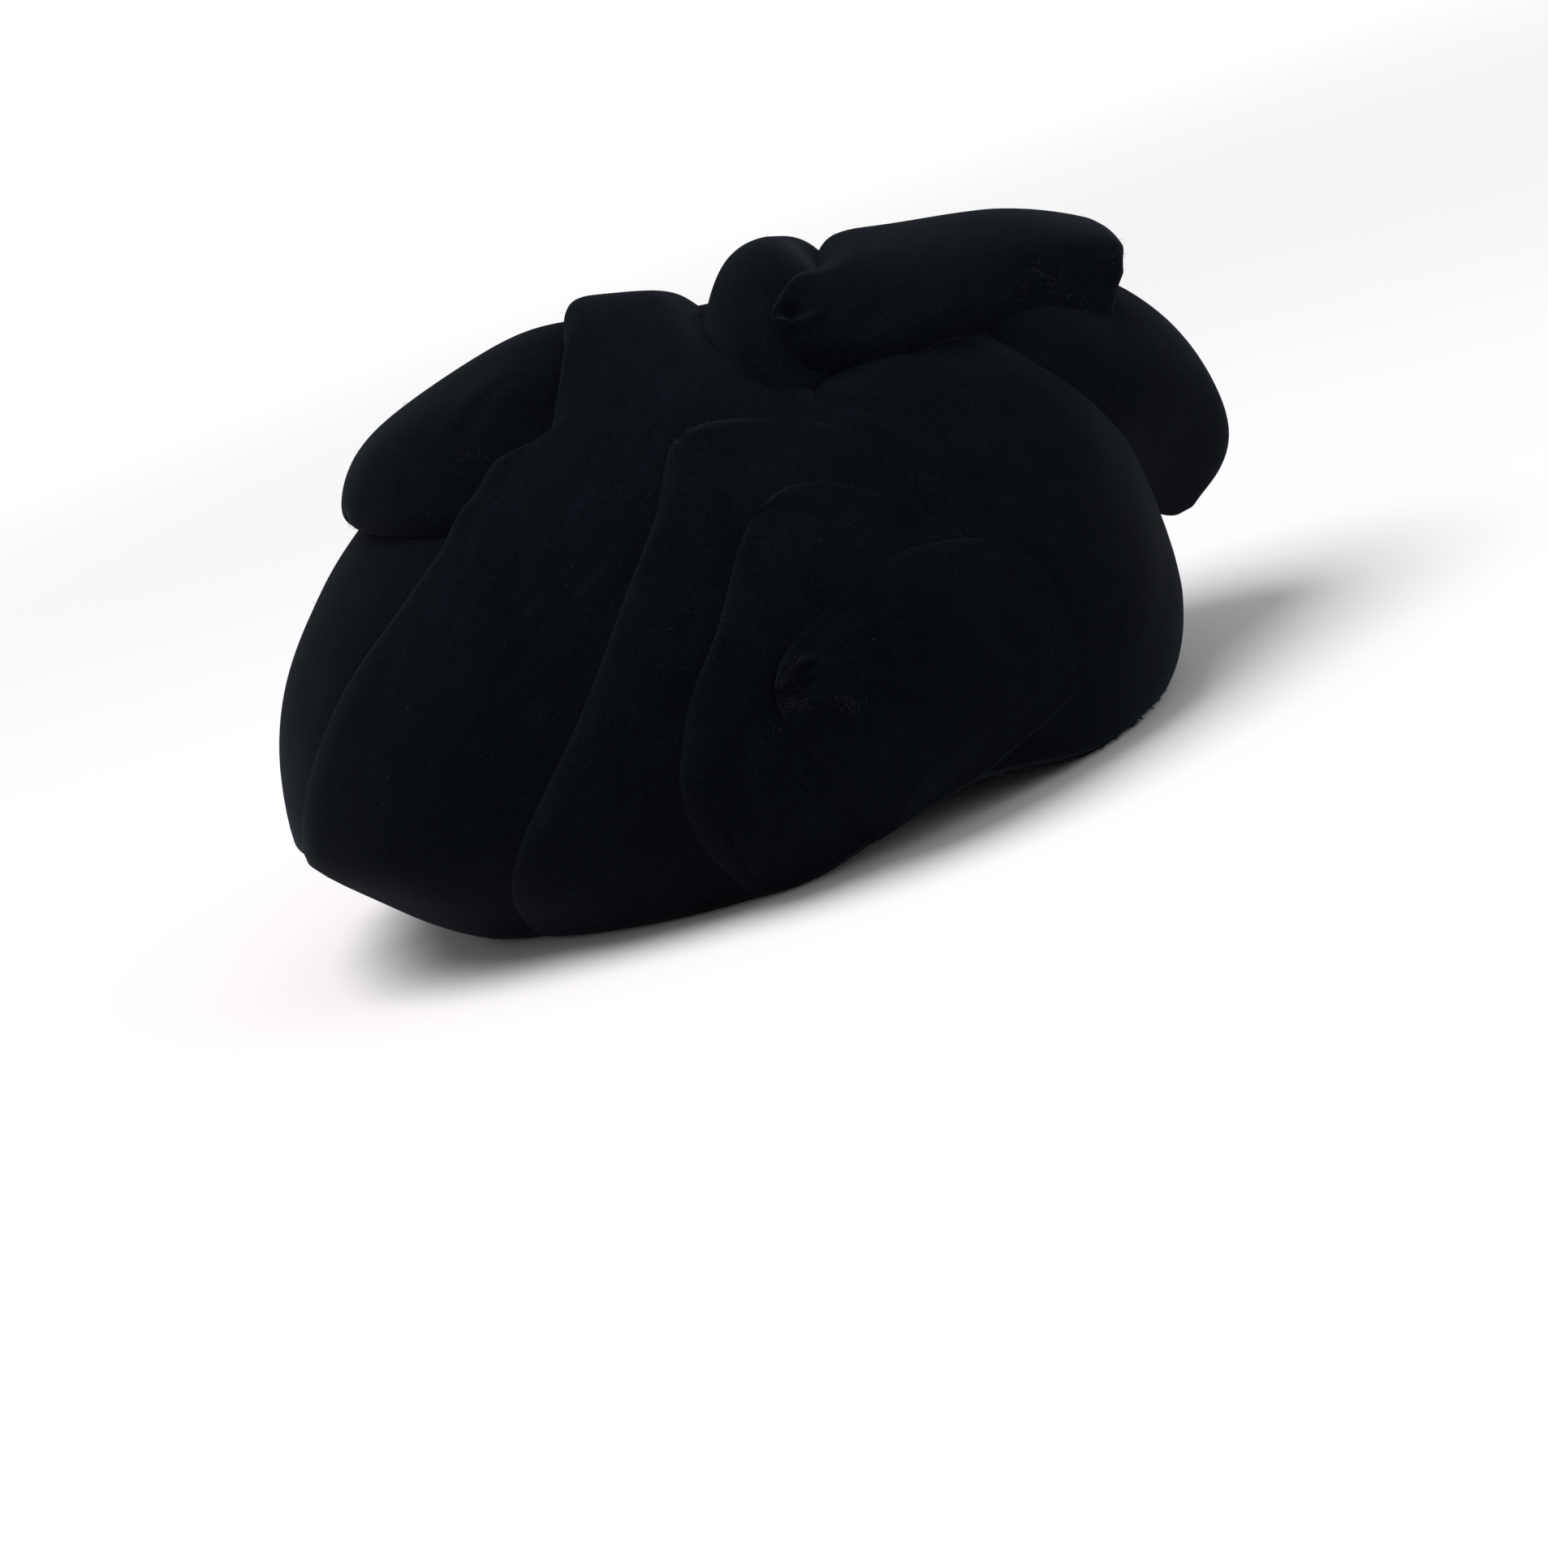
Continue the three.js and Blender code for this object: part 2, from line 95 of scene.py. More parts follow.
# The petals in the order in which they are laid.
# root is the sewn end: left and right azimuth and elevation, None for the edge of the opening.
# left and right are points on the long edges from root to tip. arch is how far the middle stands up and
# peak where along the length it does, rise and lift how far the root and the tip stand up. blunt is the width
# over which a risen root turns down. free petals start away from the opening.
# hug: widths over which the left and right edges and the root come down to what they lie on. flank: power by
# which the arch thins out to the right edge. sunk: stretches, from and to shares of the length, over which an
# edge runs into what lies below it, over what width, and how much of the way.
# folds: kind, path of azimuths and elevations, depth and width in millimetres.
petals = {
    "back_lower": {
        "root": (150, 206, None), "tip": (180, 52), "thick": 2.8, "arch": 0.6, "peak": 0.35, "rise": 9.4,
        "blunt": 5, "left": [(138, 10), (148, 40)], "right": [(232, 10), (226, 40)],
    },
    "left_back": {
        "root": (100, 176, None), "tip": (128, 60), "thick": 2.6, "arch": 2, "lift": 1,
        "left": [(84, 20), (98, 45)], "right": [(162, 16), (150, 47)],
    },
    "left_top": {
        "root": (62, 120, 30), "tip": (-40, 80), "thick": 2.6, "arch": 1, "free": True,
        "left": [(40, 50), (20, 66)], "right": [(140, 52), (170, 70)],
    },
    "back_upper": {
        "root": (-100, 95, 82), "tip": (-170, 40.5), "thick": 2.8, "arch": 10.8, "peak": 0.54, "lift": 0.7,
        "free": True, "left": [(-117, 63), (-134, 43)], "right": [(136, 63), (150, 43)],
        "sunk": [("left", -0.1, 0.62, 12, 1)],
        "folds": [("crease", [(-141, 54.5), (-142.7, 56.9), (-143.4, 61.8), (-143.2, 67)], 1.4, 5)],
    },
    "left_mid": {
        "root": (76, 142, None), "tip": (92, 46), "thick": 2.6, "arch": 2, "lift": 1,
        "left": [(42, 5), (38, 24), (52, 42)], "right": [(125, 6), (108, 30)],
    },
    "left_front": {
        "root": (64, 99, None), "tip": (84, 31), "thick": 2.6, "arch": 1, "lift": 1,
        "left": [(50, 2), (55, 20), (68, 33)], "right": [(105, -4), (98, 13)],
    },
    "left_ear": {
        "root": (60, 80, None), "tip": (86, 8), "thick": 2.6, "arch": 1, "lift": 1,
        "left": [(44, -4), (50, 10), (66, 20)], "right": [(87, -2)],
    },
    "right_back": {
        "root": (-178, -104, None), "tip": (115, 79), "thick": 2.8, "arch": 3, "peak": 0.8, "lift": 1,
        "left": [(-166, 4), (-159, 15), (-146, 32), (-137, 46), (-134, 53), (-125, 55), (-124.5, 61),
                 (-127, 70)],
        "right": [(-72, 25), (-50, 55), (40, 76)],
        "sunk": [("left", 0.86, 1.05, 7, 1), ("left", -0.1, 0.42, 8, 0.55)],
        "folds": [("dent", [(-64, 64), (-50, 74), (-12, 79), (30, 75), (55, 66)], 5.5, 6)],
    },
    "front_lower": {
        "root": (-68, 58, None), "tip": (-36, 56), "thick": 2.8, "arch": 3, "peak": 0.25,
        "left": [(-70, 14), (-66, 40)], "right": [(34, 22), (8, 44)],
        "sunk": [("left", 0.6, 1.05, 12, 1)],
    },
    "front": {
        "root": (50, -14, 50), "tip": (12, -2.4), "thick": 2.8, "arch": 22.8, "peak": 0.72, "lift": 13.5,
        "free": True, "left": [(50, 22)], "right": [(-24, 30), (-12, 13)], "flank": 1.4, "hug": (5, 16, 5),
        "sunk": [("right", -0.1, 0.9, 9, 1)],
    },
    "right_mid": {
        "root": (-151, -78, None), "tip": (-90, 48), "thick": 2.6, "arch": 1, "lift": 0.5,
        "left": [(-128, 1), (-113, 18), (-99, 36)], "right": [(-54, 5), (-51, 25), (-62, 44), (-76, 49)],
        "sunk": [("right", -0.1, 0.86, 24, 1), ("left", -0.1, 0.6, 8, 0.6)],
    },
    "crest_under": {
        "root": (20, 44, 59), "tip": (-64, 48), "thick": 2.4, "arch": 16.7, "peak": 0.40, "free": True,
        "left": [(-8, 55), (-42, 48)], "right": [(18, 74.5), (-48, 74.3), (-66, 58)],
        "sunk": [("left", 0.25, 1.05, 17, 1)],
    },
    "crest": {
        "root": (-6, 34, 25.2), "tip": (-55.8, 57.6), "thick": 2.6, "arch": 3.5, "rise": 11.7, "blunt": 8.5,
        "free": True, "left": [(-21, 36.8), (-36, 41.5), (-47, 46.5), (-56.5, 52)],
        "right": [(20, 57.6), (-26, 60.8), (-43, 60.6)], "hug": (2.5, 4, 3),
        "sunk": [("left", 0.55, 0.93, 18, 1), ("left", -0.1, 0.3, 8, 1), ("root", -0.1, 0.3, 3.5, 1),
                 ("right", 0.4, 1.05, 10, 0.36)],
        "folds": [("ridge", [(-55.2, 57.2), (-55, 55.2), (-51.1, 54.0), (-45.5, 53.9)], 1.3, 1.6),
                  ("dent", [(-52.3, 56.6), (-51.3, 56.5), (-48, 57)], 3.2, 2.3)],
    },
    "right_front": {
        "root": (-105, -64, None), "tip": (-82.5, 31.5), "thick": 2.6, "arch": 1, "lift": 0.5,
        "left": [(-107, -5), (-103, 7), (-94, 18)], "right": [(-46, 4), (-54, 20), (-70, 34)],
        "sunk": [("right", -0.1, 0.9, 26, 1), ("left", -0.1, 0.62, 8, 0.6)],
        "folds": [("crease", [(-103.6, 1.7), (-102, -4.5), (-101.6, -11.5), (-102.2, -21.2)], 1.0, 2.5)],
    },
    "right_ear": {
        "root": (-82, -62, None), "tip": (-89, 8.5), "thick": 2.6, "arch": 1, "lift": 1,
        "left": [(-87.5, -3)], "right": [(-40, -8), (-42, 8), (-60, 19), (-77, 17.5)],
        "sunk": [("right", -0.1, 0.93, 30, 1), ("left", -0.1, 0.84, 10, 0.6)],
        "folds": [("ridge", [(-83, 5.6), (-81.7, 8.9), (-84.1, 11), (-87, 10.9), (-89, 8.7), (-88.7, 6.2),
                             (-87.2, 5.4), (-84.3, 5.7)], 0.9, 1.1),
                  ("dent", [(-85.6, 9), (-85.4, 7.4)], 1.2, 2.6),
                  ("ridge", [(-80.8, 3.4), (-79.5, 0.4), (-78.8, -3.3)], 0.8, 2.2)],
    },
}
foldForm = {
    "points": 90, "height": 8.0,  # points along the path of a fold, and their height over the cap
    "ends": 0.05, "fade": 0.6,  # it fades by this power of a sine, whose half wave it enters by this share
    "valley": 0.35,  # width of a crease's valley, as a share of its own
}


# The cap's form

def toward(azimuth, fall):  # unit vector of an azimuth and a fall
    around, down = np.radians(azimuth), np.radians(fall)
    return np.stack([np.sin(down) * np.cos(around), np.sin(down) * np.sin(around), np.cos(down)], -1)


def capRadius(direction):  # a superellipse: (level^p + up^p)^(-1/p), with p drifting from front to back
    x, y, z = np.moveaxis(direction, -1, 0)
    level = np.hypot(x / np.where(x >= 0, cap["front"], cap["back"]), y / cap["half"])
    up = np.abs(z) / np.where(z >= 0, cap["top"], cap["drop"])
    power = np.where(z >= 0, cap["roundUp"], cap["roundDown"])
    power = power + cap["squareFront"] * np.maximum(x, 0) ** 2
    power = power - np.where(z >= 0, cap["slopeBack"], cap["leanBack"]) * np.minimum(x, 0) ** 2
    return (level ** power + up ** power) ** (-1 / power)


def edgeHeight(azimuth):  # flat, with a squared cosine over each ear
    off = (np.abs((azimuth + 180) % 360 - 180) - ear["azimuth"]) / ear["halfWidth"]
    return np.where(np.abs(off) < 1, ear["rise"] * np.cos(np.clip(off, -1, 1) * np.pi / 2) ** 2, 0.0)


def edgeFall(azimuth, above):  # fall at which the cap is this high above its edge, by repeated substitution
    fall = np.full_like(np.asarray(azimuth, float), cap["firstFall"])
    for _ in range(cap["rounds"]):
        depth = cap["girth"] - edgeHeight(azimuth) - above
        fall = 90 + np.degrees(np.arcsin(depth / capRadius(toward(azimuth, fall))))
    return fall


def outward(azimuth, fall):  # straight out from the centre, turning level towards the opening's edge
    direction = toward(azimuth, fall)
    below = np.clip((fall - 90) / (edgeFall(azimuth, lap["rimGap"]) - 90), 0, 1)
    direction[..., 2] *= 1 - below ** 2
    return direction / np.linalg.norm(direction, axis=-1, keepdims=True)


def surfacePoint(azimuth, fall, height):  # the cap's point, moved out by a height
    direction = toward(azimuth, fall)
    point = direction * capRadius(direction)[..., None] + outward(azimuth, fall) * height[..., None]
    return point + [0, 0, cap["girth"]]


def toChart(azimuth, fall):  # fall times the cosine and the sine of the azimuth
    around = np.radians(azimuth)
    return np.stack([fall * np.cos(around), fall * np.sin(around)], -1)


def fromChart(place):  # azimuth and fall from the direction and the length
    return np.degrees(np.arctan2(place[..., 1], place[..., 0])), np.hypot(place[..., 0], place[..., 1])


# Where the cap's centre lies in the frame: the crown's rings in the CAD model tell how far front it reaches
crownLow, crownHigh = (1000 * np.array(corner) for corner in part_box("crown"))
rings = edgeFall(0.0, 0.0) * np.arange(1, cap["cadRings"] + 1) / cap["cadRings"]
reachOfRings = surfacePoint(np.zeros_like(rings), rings, np.zeros_like(rings))[:, 0].max()
shift = np.array([crownHigh[0] - reachOfRings, (crownLow[1] + crownHigh[1]) / 2, 0.0])


def toFrame(points):  # millimetres round the cap's centre to metres in the frame
    return (points + shift) / 1000


# Petals

def knotsOf(points):  # running sum of the square roots of the distances, with which a curve doesn't swing out
    return np.concatenate([[0], np.cumsum(np.linalg.norm(np.diff(points, axis=0), axis=1) ** 0.5)])


def smoothCurve(points, knots, at):  # Hermite curve whose tangents weigh the slopes on both sides
    steps = np.diff(knots)
    slope = np.diff(points, axis=0) / steps[:, None]
    tangent = np.zeros_like(points)
    tangent[1:-1] = slope[:-1] * steps[1:, None] + slope[1:] * steps[:-1, None]
    tangent[1:-1] /= (steps[1:] + steps[:-1])[:, None]
    tangent[0] = 1.5 * slope[0] - 0.5 * tangent[1]
    tangent[-1] = 1.5 * slope[-1] - 0.5 * tangent[-2]
    i = np.clip(np.searchsorted(knots, at, side="right") - 1, 0, len(points) - 2)
    f = ((at - knots[i]) / steps[i])[:, None]
    step = steps[i][:, None]
    return ((2 * f**3 - 3 * f**2 + 1) * points[i] + (f**3 - 2 * f**2 + f) * step * tangent[i]
            + (3 * f**2 - 2 * f**3) * points[i + 1] + (f**3 - f**2) * step * tangent[i + 1])


def petalPlaces(petal):
    # Chart places between the two edges of a smooth outline: left + (right - left) * across.
    # Also the share of the length of each row, and the place of each column from -1 at the left edge to 1
    rootLeft, rootRight, elevation = petal["root"]
    rootFall = edgeFall(np.array([rootLeft, rootRight], float), lap["rimGap"])
    if elevation is not None:
        rootFall[:] = 90 - elevation
    middle = [*petal["left"], petal["tip"], *petal["right"][::-1]]
    azimuths = np.array([rootLeft, *(point[0] for point in middle), rootRight], float)
    falls = np.array([rootFall[0], *(90 - point[1] for point in middle), rootFall[1]])
    outline = toChart(azimuths, falls)
    knots = knotsOf(outline)
    tipKnot = knots[len(petal["left"]) + 1]
    even = np.linspace(0, 1, lap["rows"] + 1)
    length = (1 - lap["tipRows"]) * even + lap["tipRows"] * np.sin(even * np.pi / 2)
    side = np.linspace(-1, 1, lap["columns"] + 1)
    width = (1 - lap["edgeColumns"]) * side + lap["edgeColumns"] * np.sin(side * np.pi / 2)
    across = (width + 1)[None, :, None] / 2
    left = smoothCurve(outline, knots, length * tipKnot)[:, None]
    right = smoothCurve(outline, knots, knots[-1] - length * (knots[-1] - tipKnot))[:, None]
    places = left + (right - left) * across
    if not petal.get("free"):  # the sewn end follows the opening instead of cutting straight across
        azimuth = rootLeft + (rootRight - rootLeft) * across[0, :, 0]
        chord = outline[0] + (outline[-1] - outline[0]) * across[0]
        sewn = toChart(azimuth, edgeFall(azimuth, lap["rimGap"])) - chord
        places = places + (1 - length)[:, None, None] * sewn[None]
    return places, length[:, None], width[None, :]


def finer(field, times):  # more rows and columns by straight interpolation
    for axis in (0, 1):
        count = field.shape[axis]
        at = np.linspace(0, count - 1, (count - 1) * times + 1)
        low = np.minimum(at.astype(int), count - 2)
        share = (at - low).reshape([-1 if k == axis else 1 for k in range(field.ndim)])
        field = np.take(field, low, axis) * (1 - share) + np.take(field, low + 1, axis) * share
    return field


def onRaster(places):  # chart places as counts of cells from the raster's corner
    return (places + raster["span"]) / raster["cell"]


def cellsOf(places):  # the cell nearest to each place
    return np.round(onRaster(places)).astype(int)


def cellsAround(at):  # the four cells round each place, and their shares: (1 - distance) on both axes
    corner = np.floor(at).astype(int)
    share = at - corner
    for i in (0, 1):
        for j in (0, 1):
            part = np.abs(1 - i - share[..., 0]) * np.abs(1 - j - share[..., 1])
            yield (corner[..., 0] + i, corner[..., 1] + j), part


def spread(field, reach):  # sum over a square of cells, by differences of running sums
    for axis in (0, 1):
        pad = [(reach + 1, reach) if k == axis else (0, 0) for k in (0, 1)]
        running = np.cumsum(np.pad(field, pad), axis)
        count = field.shape[axis]
        field = (np.take(running, range(2 * reach + 1, 2 * reach + 1 + count), axis)
                 - np.take(running, range(count), axis))
    return field


def meanInside(field, inside, reach):  # mean over the cells of a square that lie inside the sheet
    return spread(field * inside, reach) / np.maximum(spread(inside, reach), 0.5)


def thicken(field):  # the highest of each cell and its eight neighbours
    padded = np.pad(field, 1)
    rows, columns = field.shape
    return np.max([padded[i:i + rows, j:j + columns] for i in range(3) for j in range(3)], 0)


def drape(cover, places):
    # The height of a sheet pulled taut over the cover: max(cover, mean of the neighbours), over and over.
    # Also the smoothed height of the cover itself.
    cells = cellsOf(finer(places, raster["marks"])).reshape(-1, 2)
    low = cells.min(0) - raster["margin"]
    high = cells.max(0) + raster["margin"] + 1
    window = tuple(slice(a, b) for a, b in zip(low, high))
    inside = np.zeros(cover.shape)
    inside[cells[:, 0], cells[:, 1]] = 1
    inside = inside[window]
    need = thicken(cover[window]) + lap["gap"]
    for _ in range(raster["soft"]):
        need = spread(need, 1) / 9
    need = need * inside
    height = need
    for reach in raster["taut"]:
        share = spread(spread(inside, reach), reach)
        around = spread(spread(height * inside, reach), reach) / np.maximum(share, 0.5)
        height = np.maximum(need, around) * inside
    for _ in range(raster["soft"]):
        height = meanInside(height, inside, 2)
    for _ in range(raster["soft"]):
        need = meanInside(need, inside, 1)
    result = np.zeros((2, *places.shape[:-1]))
    total = np.zeros(places.shape[:-1])
    for spot, part in cellsAround(onRaster(places) - low):
        part = (part + 1e-6) * inside[spot]  # with no share at nought, one cell inside the sheet is enough
        result += part * np.stack([height[spot], need[spot]])
        total += part
    return result / np.maximum(total, 1e-9)


def layOn(cover, places, heights):  # the cover becomes the higher of itself and the sheet
    cells = cellsOf(finer(places, raster["marks"]))
    np.maximum.at(cover, (cells[..., 0], cells[..., 1]), finer(heights, raster["marks"]))


def foldHeight(points, fold):
    # Height of a fold by the distance d from its path, fading at its ends. ridge: a welt, exp(-(d / wide)^2).
    # dent: the same, downwards. crease: the welt with a valley in it, times 1 - exp(-(d / valley)^2)
    kind, path, deep, wide = fold
    path = np.array(path, float)
    knots = knotsOf(path)
    along = np.linspace(0, 1, foldForm["points"])
    line = smoothCurve(path, knots, along * knots[-1])
    centre = surfacePoint(line[:, 0], 90 - line[:, 1], np.full(len(line), foldForm["height"]))
    tangent = np.gradient(centre, axis=0)
    side = np.cross(tangent, outward(line[:, 0], 90 - line[:, 1]))
    side /= np.linalg.norm(side, axis=1, keepdims=True)
    flat = points.reshape(-1, 3)
    between = flat[:, None] - centre[None]
    nearest = np.linalg.norm(between, axis=-1).argmin(1)
    offset = between[np.arange(len(flat)), nearest]
    distance = np.hypot((offset * side[nearest]).sum(-1), (offset * tangent[nearest]).sum(-1)
                        / np.linalg.norm(tangent[nearest], axis=-1))
    wave = along[nearest] * (1 - 2 * foldForm["ends"]) + foldForm["ends"]
    shape = np.exp(-(distance / wide) ** 2)
    if kind == "crease":
        shape = (1 - np.exp(-(distance / (foldForm["valley"] * wide)) ** 2)) * shape
    elif kind == "dent":
        shape = -shape
    return (deep * np.sin(np.pi * wave) ** foldForm["fade"] * shape).reshape(points.shape[:-1])


def unevenness(points, seed):  # a few seeded sine waves of different lengths and directions, added up
    random = np.random.default_rng(seed)
    total = np.zeros(points.shape[:-1])
    for _ in range(lap["waves"]):
        direction = random.normal(size=3)
        direction *= 2 * np.pi / random.uniform(*lap["waveLength"]) / np.linalg.norm(direction)
        total += np.sin(points @ direction + random.uniform(0, 2 * np.pi))
    return total / lap["waves"] ** 0.5


def alongRows(points):  # distances from the left edge and from the root, summed from point to point
    across = np.linalg.norm(np.diff(points, axis=1), axis=-1)
    along = np.linalg.norm(np.diff(points, axis=0), axis=-1)
    across = np.concatenate([np.zeros((len(points), 1)), np.cumsum(across, 1)], 1)
    along = np.concatenate([np.zeros((1, points.shape[1])), np.cumsum(along, 0)], 0)
    return across, along


def petalFaces(rows, columns):
    # Vertex numbers of the two faces. They share their border, and the last row is one point.
    count = (rows + 1) * (columns + 1)
    outer = np.arange(count).reshape(rows + 1, columns + 1)
    outer[-1] = outer[-1, 0]
    inner = outer.copy()
    inner[1:-1, 1:-1] += count
    quads = []
    for grid, turn in ((outer, 1), (inner, -1)):
        corners = np.stack([grid[:-1, :-1], grid[:-1, 1:], grid[1:, 1:], grid[1:, :-1]], -1)
        quads.append(corners.reshape(-1, 4)[:, ::turn])
    return np.concatenate(quads)


def meshFrom(name, points, faces, uv):
    # Puts arrays into a mesh, leaving out unused points and the doubled corner of a face that is a triangle
    used, faces = np.unique(faces, return_inverse=True)
    faces = faces.reshape(-1, 4)
    keep = faces != np.roll(faces, -1, 1)
    sizes = keep.sum(1)
    good = sizes >= 3
    keep, sizes, faces = keep[good], sizes[good], faces[good]
    corners = faces[keep]
    mesh = bpy.data.meshes.new(name)
    mesh.vertices.add(len(used))
    mesh.vertices.foreach_set("co", toFrame(points[used]).astype(np.float32).ravel())
    mesh.loops.add(len(corners))
    mesh.loops.foreach_set("vertex_index", corners.astype(np.int32))
    mesh.polygons.add(len(sizes))
    mesh.polygons.foreach_set("loop_start", (np.cumsum(sizes) - sizes).astype(np.int32))
    mesh.update(calc_edges=True)
    layer = mesh.uv_layers.new(name="lay")
    layer.data.foreach_set("uv", uv[used][corners].astype(np.float32).ravel())
    mesh.polygons.foreach_set("use_smooth", np.ones(len(sizes), bool))
    mesh.validate()
    piece = bpy.data.objects.new(name, mesh)
    bpy.context.scene.collection.objects.link(piece)
    return piece


def sunkShare(petal, length, away):
    # How much of the way each point goes down to what lies below: much * exp(-(distance from edge / wide)^2),
    # where a stretch begins and ends by 1 / (1 + exp(distance / ease)). The deepest stretch counts
    ease = lap["ease"]
    sunk = np.zeros_like(away["root"])
    for side, start, end, wide, much in petal.get("sunk", ()):
        stretch = 1 / (1 + np.exp((length - end) / ease)) / (1 + np.exp((start - length) / ease))
        sunk = np.maximum(sunk, much * stretch * np.exp(-(away[side] / wide) ** 2))
    return sunk


def layPetal(name, petal, cover, seed):
    # The middle of the padding lies over the taut sheet by arch * (1 - width^2) * sin(pi * length^shape), by
    # rise * (1 - length)^3 and lift * length^4, by unevenness and by folds. The two faces lie half the
    # thickness on either side of it, rounded at the edges: thick / 2 * (1 - (1 - edge / roll)^2)^soft
    places, length, width = petalPlaces(petal)
    azimuth, fall = fromChart(places)
    free = petal.get("free")
    taut, beneath = drape(cover, places)
    across, along = alongRows(surfacePoint(azimuth, fall, taut))
    fromRight = across[:, -1:] - across
    hugLeft, hugRight, hugRoot = petal.get("hug", lap["hug"])
    inward = (1 - np.exp(-across / hugLeft)) * (1 - np.exp(-fromRight / hugRight))
    loose = inward * (1 - np.exp(-along / hugRoot)) if free else inward
    taut = beneath + np.maximum(taut - beneath, 0) * loose
    taut[-1] = taut[-1].mean()
    base = surfacePoint(azimuth, fall, taut)
    edge = np.minimum(np.minimum(across, fromRight), along[-1:] - along)
    if free:
        edge = np.minimum(edge, along)
    shape = math.log(0.5) / math.log(petal.get("peak", 0.5))
    thinned = np.where(width > 0, petal.get("flank", 1.0), 1.0)
    stand = petal["arch"] * (1 - width ** 2) ** thinned * np.sin(np.pi * length ** shape)
    rise = petal.get("rise", 0) * (1 - length) ** lap["riseFade"] * inward
    if "blunt" in petal:  # the root turns down in a quarter circle
        rise = rise * np.sqrt(1 - (1 - np.clip(along / petal["blunt"], 0, 1)) ** 2)
    stand = stand + rise + petal.get("lift", 0) * length ** lap["liftGrowth"]
    calm = 1 - np.exp(-np.minimum(edge, along) / lap["calm"])
    stand = stand + lap["uneven"] * (lap["plump"] + unevenness(base, seed)) * calm
    sunk = sunkShare(petal, length, {"left": across, "right": fromRight, "root": along})
    stand = stand * (1 - sunk) + lap["flare"] * np.exp(-edge / lap["flareWidth"]) * (1 - sunk)
    for fold in petal.get("folds", ()):
        stand = stand + foldHeight(base, fold)
    sewn = lap["rootShare"] + (1 - lap["rootShare"]) * np.clip(length / lap["rootLength"], 0, 1)
    thick = petal["thick"] * sewn
    rounded = edge if free else np.minimum(edge, along * lap["roll"] / lap["rootRoll"])
    half = thick / 2 * (1 - (1 - np.clip(rounded / lap["roll"], 0, 1)) ** 2) ** lap["soft"]
    rest = lap["rest"]
    middle = taut + stand + thick / 2 * rest + half * (1 - rest)
    middle = middle - sunk * (thick + lap["gap"] + lap["bury"])
    layOn(cover, places, middle + half)
    outer, inner = (surfacePoint(azimuth, fall, middle + side * half) for side in (1, -1))
    for border, within in ((0, 3), (-1, -4)):  # the column of each long edge, and one a little way in from it
        seen = sunk[:, border] < lap["shown"]
        borders.append((outer[seen, border], outer[seen, border] - outer[seen, within]))
    points = np.concatenate([outer.reshape(-1, 3), inner.reshape(-1, 3)])
    uv = np.stack([across - across[:, -1:] / 2, along], -1).reshape(-1, 2) / layUnit
    faces = petalFaces(lap["rows"], lap["columns"])
    return meshFrom(name + "_velvet", points, faces, np.concatenate([uv, uv]))


# The crown

def makeCrown():  # the cap's form, and the same form a wall further in, which meet in the edge of the opening
    azimuth = np.tile(np.linspace(0, 360, cap["around"], endpoint=False), (cap["down"] + 1, 1))
    fall = np.linspace(0, 1, cap["down"] + 1)[:, None] * edgeFall(azimuth, 0.0)
    faces = []
    for height in (0.0, -cap["wall"]):
        points = surfacePoint(azimuth, fall, np.full(fall.shape, height))
        points[-1, :, 2] = edgeHeight(azimuth[-1])
        points[0] = points[0].mean(0)
        faces.append(points)
    count = fall.size
    outer = np.arange(count).reshape(fall.shape)
    outer[0] = outer[0, 0]
    quads = []
    for grid, turn in ((outer, 1), (outer + count, -1)):
        after = np.roll(grid, -1, 1)
        quads.append(np.stack([grid[:-1], grid[1:], after[1:], after[:-1]], -1).reshape(-1, 4)[:, ::turn])
    rim, rimAfter = outer[-1], np.roll(outer[-1], -1)
    quads.append(np.stack([rim, rim + count, rimAfter + count, rimAfter], -1))
    points = np.concatenate([face.reshape(-1, 3) for face in faces])
    uv = np.concatenate([toChart(azimuth, fall).reshape(-1, 2) * cap["perDegree"] / layUnit] * 2)
    return meshFrom("crown_shell", points, np.concatenate(quads), uv)


borders = []  # points on the edges of petals, and the way out from each
print("laying the petals")
spanCells = int(round(2 * raster["span"] / raster["cell"])) + 1
cover = np.zeros((spanCells, spanCells))
pieces = {}
crownPiece = makeCrown()
for seed, (name, petal) in enumerate(petals.items()):
    pieces[name] = layPetal(name, petal, cover, seed)
    print("laid", name, len(pieces[name].data.polygons))


# Loose fibres: pile along the petals' edges, frayed tufts where the photograph shows them, and lint

